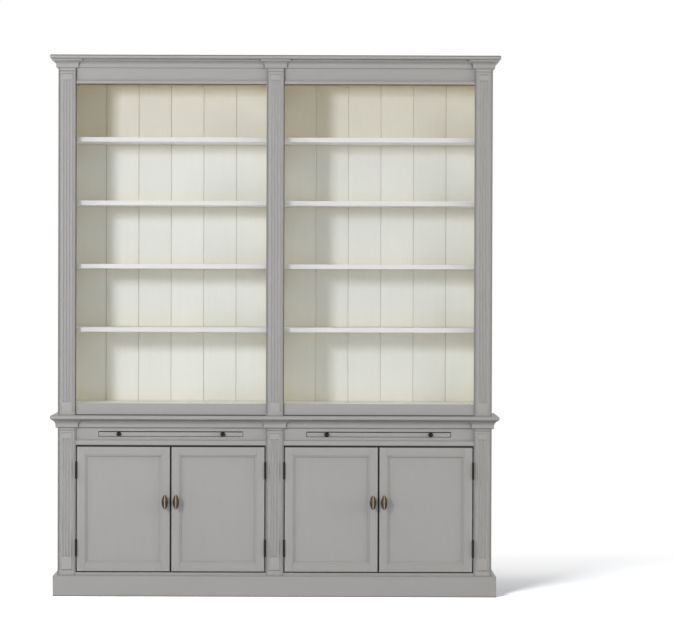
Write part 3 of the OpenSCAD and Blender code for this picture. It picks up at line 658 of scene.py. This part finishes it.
# Finishes that are finer than their slots: for each slot, patterns of node names in the order in
# which they are tried
FINER_FINISHES = {
    "cream_paint": {"shelves_*": "white_paint", "upper_top": "shaded_top_paint"},
    "aged_bronze": {"*_knob": "aged_bronze", "*": "dark_bronze"},
    "grey_paint": {
        "upper_pilaster_left": "bay_pilaster_paint",
        "upper_pilaster_centre": "bay_pilaster_paint",
        "*_pilaster_*": "pilaster_paint",
        "*_rails": "rail_paint",
        "*_friezes": "frieze_paint",
        "slide_*": "frieze_paint",
        "door_*_frame": "door_frame_paint",
        "door_*": "door_paint",
        "cornice_cap": "cap_paint",
        "waist_slab": "slab_paint",
        "waist_moulding": "waist_paint",
    },
}
IVORY_INSIDE = ("upper_sides", "base_sides")

# Vertices are at one place where they agree to this many decimals of a metre
SAME_PLACE_DECIMALS = 5

# Eased edges: vertices merge within the first distance, and edges sharper than the angle are
# rounded to this width
WELD_DISTANCE = 1e-6
EASED_WIDTH = 0.0007
EASED_SEGMENTS = 2
SHARP_ANGLE = math.radians(40)

# A face looks along an axis where its normal has at least this share of it
LOOKS_ALONG = 0.5


def finish_of(name, slot):
    """The finish of a node: that of the first pattern that its name fits, or else its slot's own."""
    for pattern, finish in FINER_FINISHES.get(slot, {}).items():
        if fnmatchcase(name, pattern):
            return finish
    return slot


def solids_of(mesh):
    """The vertices of each solid, with vertices at one place taken as one."""
    places = {}
    lead = []
    for vertex in mesh.vertices:
        key = tuple(round(c, SAME_PLACE_DECIMALS) for c in vertex.co)
        lead.append(places.setdefault(key, vertex.index))
    parent = list(range(len(lead)))

    def root(i):
        while parent[i] != i:
            parent[i] = parent[parent[i]]
            i = parent[i]
        return i

    for edge in mesh.edges:
        a, b = (root(lead[i]) for i in edge.vertices)
        parent[a] = b
    solids = {}
    for index, first in enumerate(lead):
        solids.setdefault(root(first), []).append(index)
    return list(solids.values())


def box_of(points):
    """The lowest and the highest coordinates of some points."""
    return [[pick(point[k] for point in points) for k in range(3)] for pick in (min, max)]


def mark_boards(node, first, whole):
    """Stores each solid's long axis, middle, half sizes and number, which the paint follows. With
    whole, the middle and half sizes are those of all its solids together. Returns the next number."""
    mesh = node.data
    places = [vertex.co.copy() for vertex in mesh.vertices]
    marks = {label: [None] * len(places) for label in ("board_axis", "board_middle", "board_half")}
    numbers = [0.0] * len(places)
    around = box_of(places)
    solids = solids_of(mesh)
    for number, indices in enumerate(solids, first):
        low, high = box_of([places[i] for i in indices])
        spans = [b - a for a, b in zip(low, high)]
        longest = spans.index(max(spans))
        if whole:
            low, high = around
        for i in indices:
            marks["board_axis"][i] = [float(k == longest) for k in range(3)]
            marks["board_middle"][i] = [(a + b) / 2 for a, b in zip(low, high)]
            marks["board_half"][i] = [(b - a) / 2 for a, b in zip(low, high)]
            numbers[i] = float(number)
    for label, vectors in marks.items():
        attribute = mesh.attributes.new(label, "FLOAT_VECTOR", "POINT")
        attribute.data.foreach_set("vector", [c for vector in vectors for c in vector])
    mesh.attributes.new("board_number", "FLOAT", "POINT").data.foreach_set("value", numbers)
    return first + len(solids)


def clear_shading(mesh):
    """Takes off the normals that came with a mesh, and shades it smoothly."""
    if "custom_normal" in mesh.attributes:
        mesh.attributes.remove(mesh.attributes["custom_normal"])
    mesh.polygons.foreach_set("use_smooth", [True] * len(mesh.polygons))


def soften_edges(node):
    """Merges split corners, eases sharp edges and shades the rest smoothly."""
    weld = node.modifiers.new("weld", "WELD")
    weld.merge_threshold = WELD_DISTANCE
    bevel = node.modifiers.new("eased_edges", "BEVEL")
    bevel.width = EASED_WIDTH
    bevel.segments = EASED_SEGMENTS
    bevel.limit_method = "ANGLE"
    bevel.angle_limit = SHARP_ANGLE
    bevel.use_clamp_overlap = True
    normals = node.modifiers.new("normals", "WEIGHTED_NORMAL")
    normals.keep_sharp = True


def looks_inwards(face):
    """True for a face that looks from its side of the cabinet towards the middle."""
    return face.normal.x * face.center.x < -LOOKS_ALONG * abs(face.center.x)


def looks_forwards(face):
    return face.normal.y < -LOOKS_ALONG


def paint_faces(mesh, material, chosen):
    """Gives a second paint to the faces that chosen picks."""
    mesh.materials.append(material)
    for face in mesh.polygons:
        if chosen(face):
            face.material_index = 1


def dress_nodes(finishes):
    """Gives each node its finish, and a second one to the inside of the side boards and a darker one,
    painted shade, to the front edges of the shelves."""
    slots = {part["node"]: part["material_slot"] for part in frame["record"]["subparts"]}
    first = 0
    for name, node in sorted(NODES.items()):
        first = mark_boards(node, first, whole=name.endswith("_frame"))
        clear_shading(node.data)
        soften_edges(node)
        node.data.materials.clear()
        node.data.materials.append(finishes[finish_of(name, slots[name])])
        if name in IVORY_INSIDE:
            paint_faces(node.data, finishes["ivory_paint"], looks_inwards)
        elif name.startswith("shelves_"):
            paint_faces(node.data, finishes["shaded_front_paint"], looks_forwards)


def main():
    add_camera()
    light_world()
    add_floor()
    add_lamps()
    groups = shader_groups()
    dress_nodes({
        **board_paints(groups),
        **pilaster_paints(groups),
        **cream_paints(groups),
        **unpainted(groups),
    })
    bpy.context.scene.view_settings.view_transform = "Standard"
    bpy.context.view_layer.update()


main()
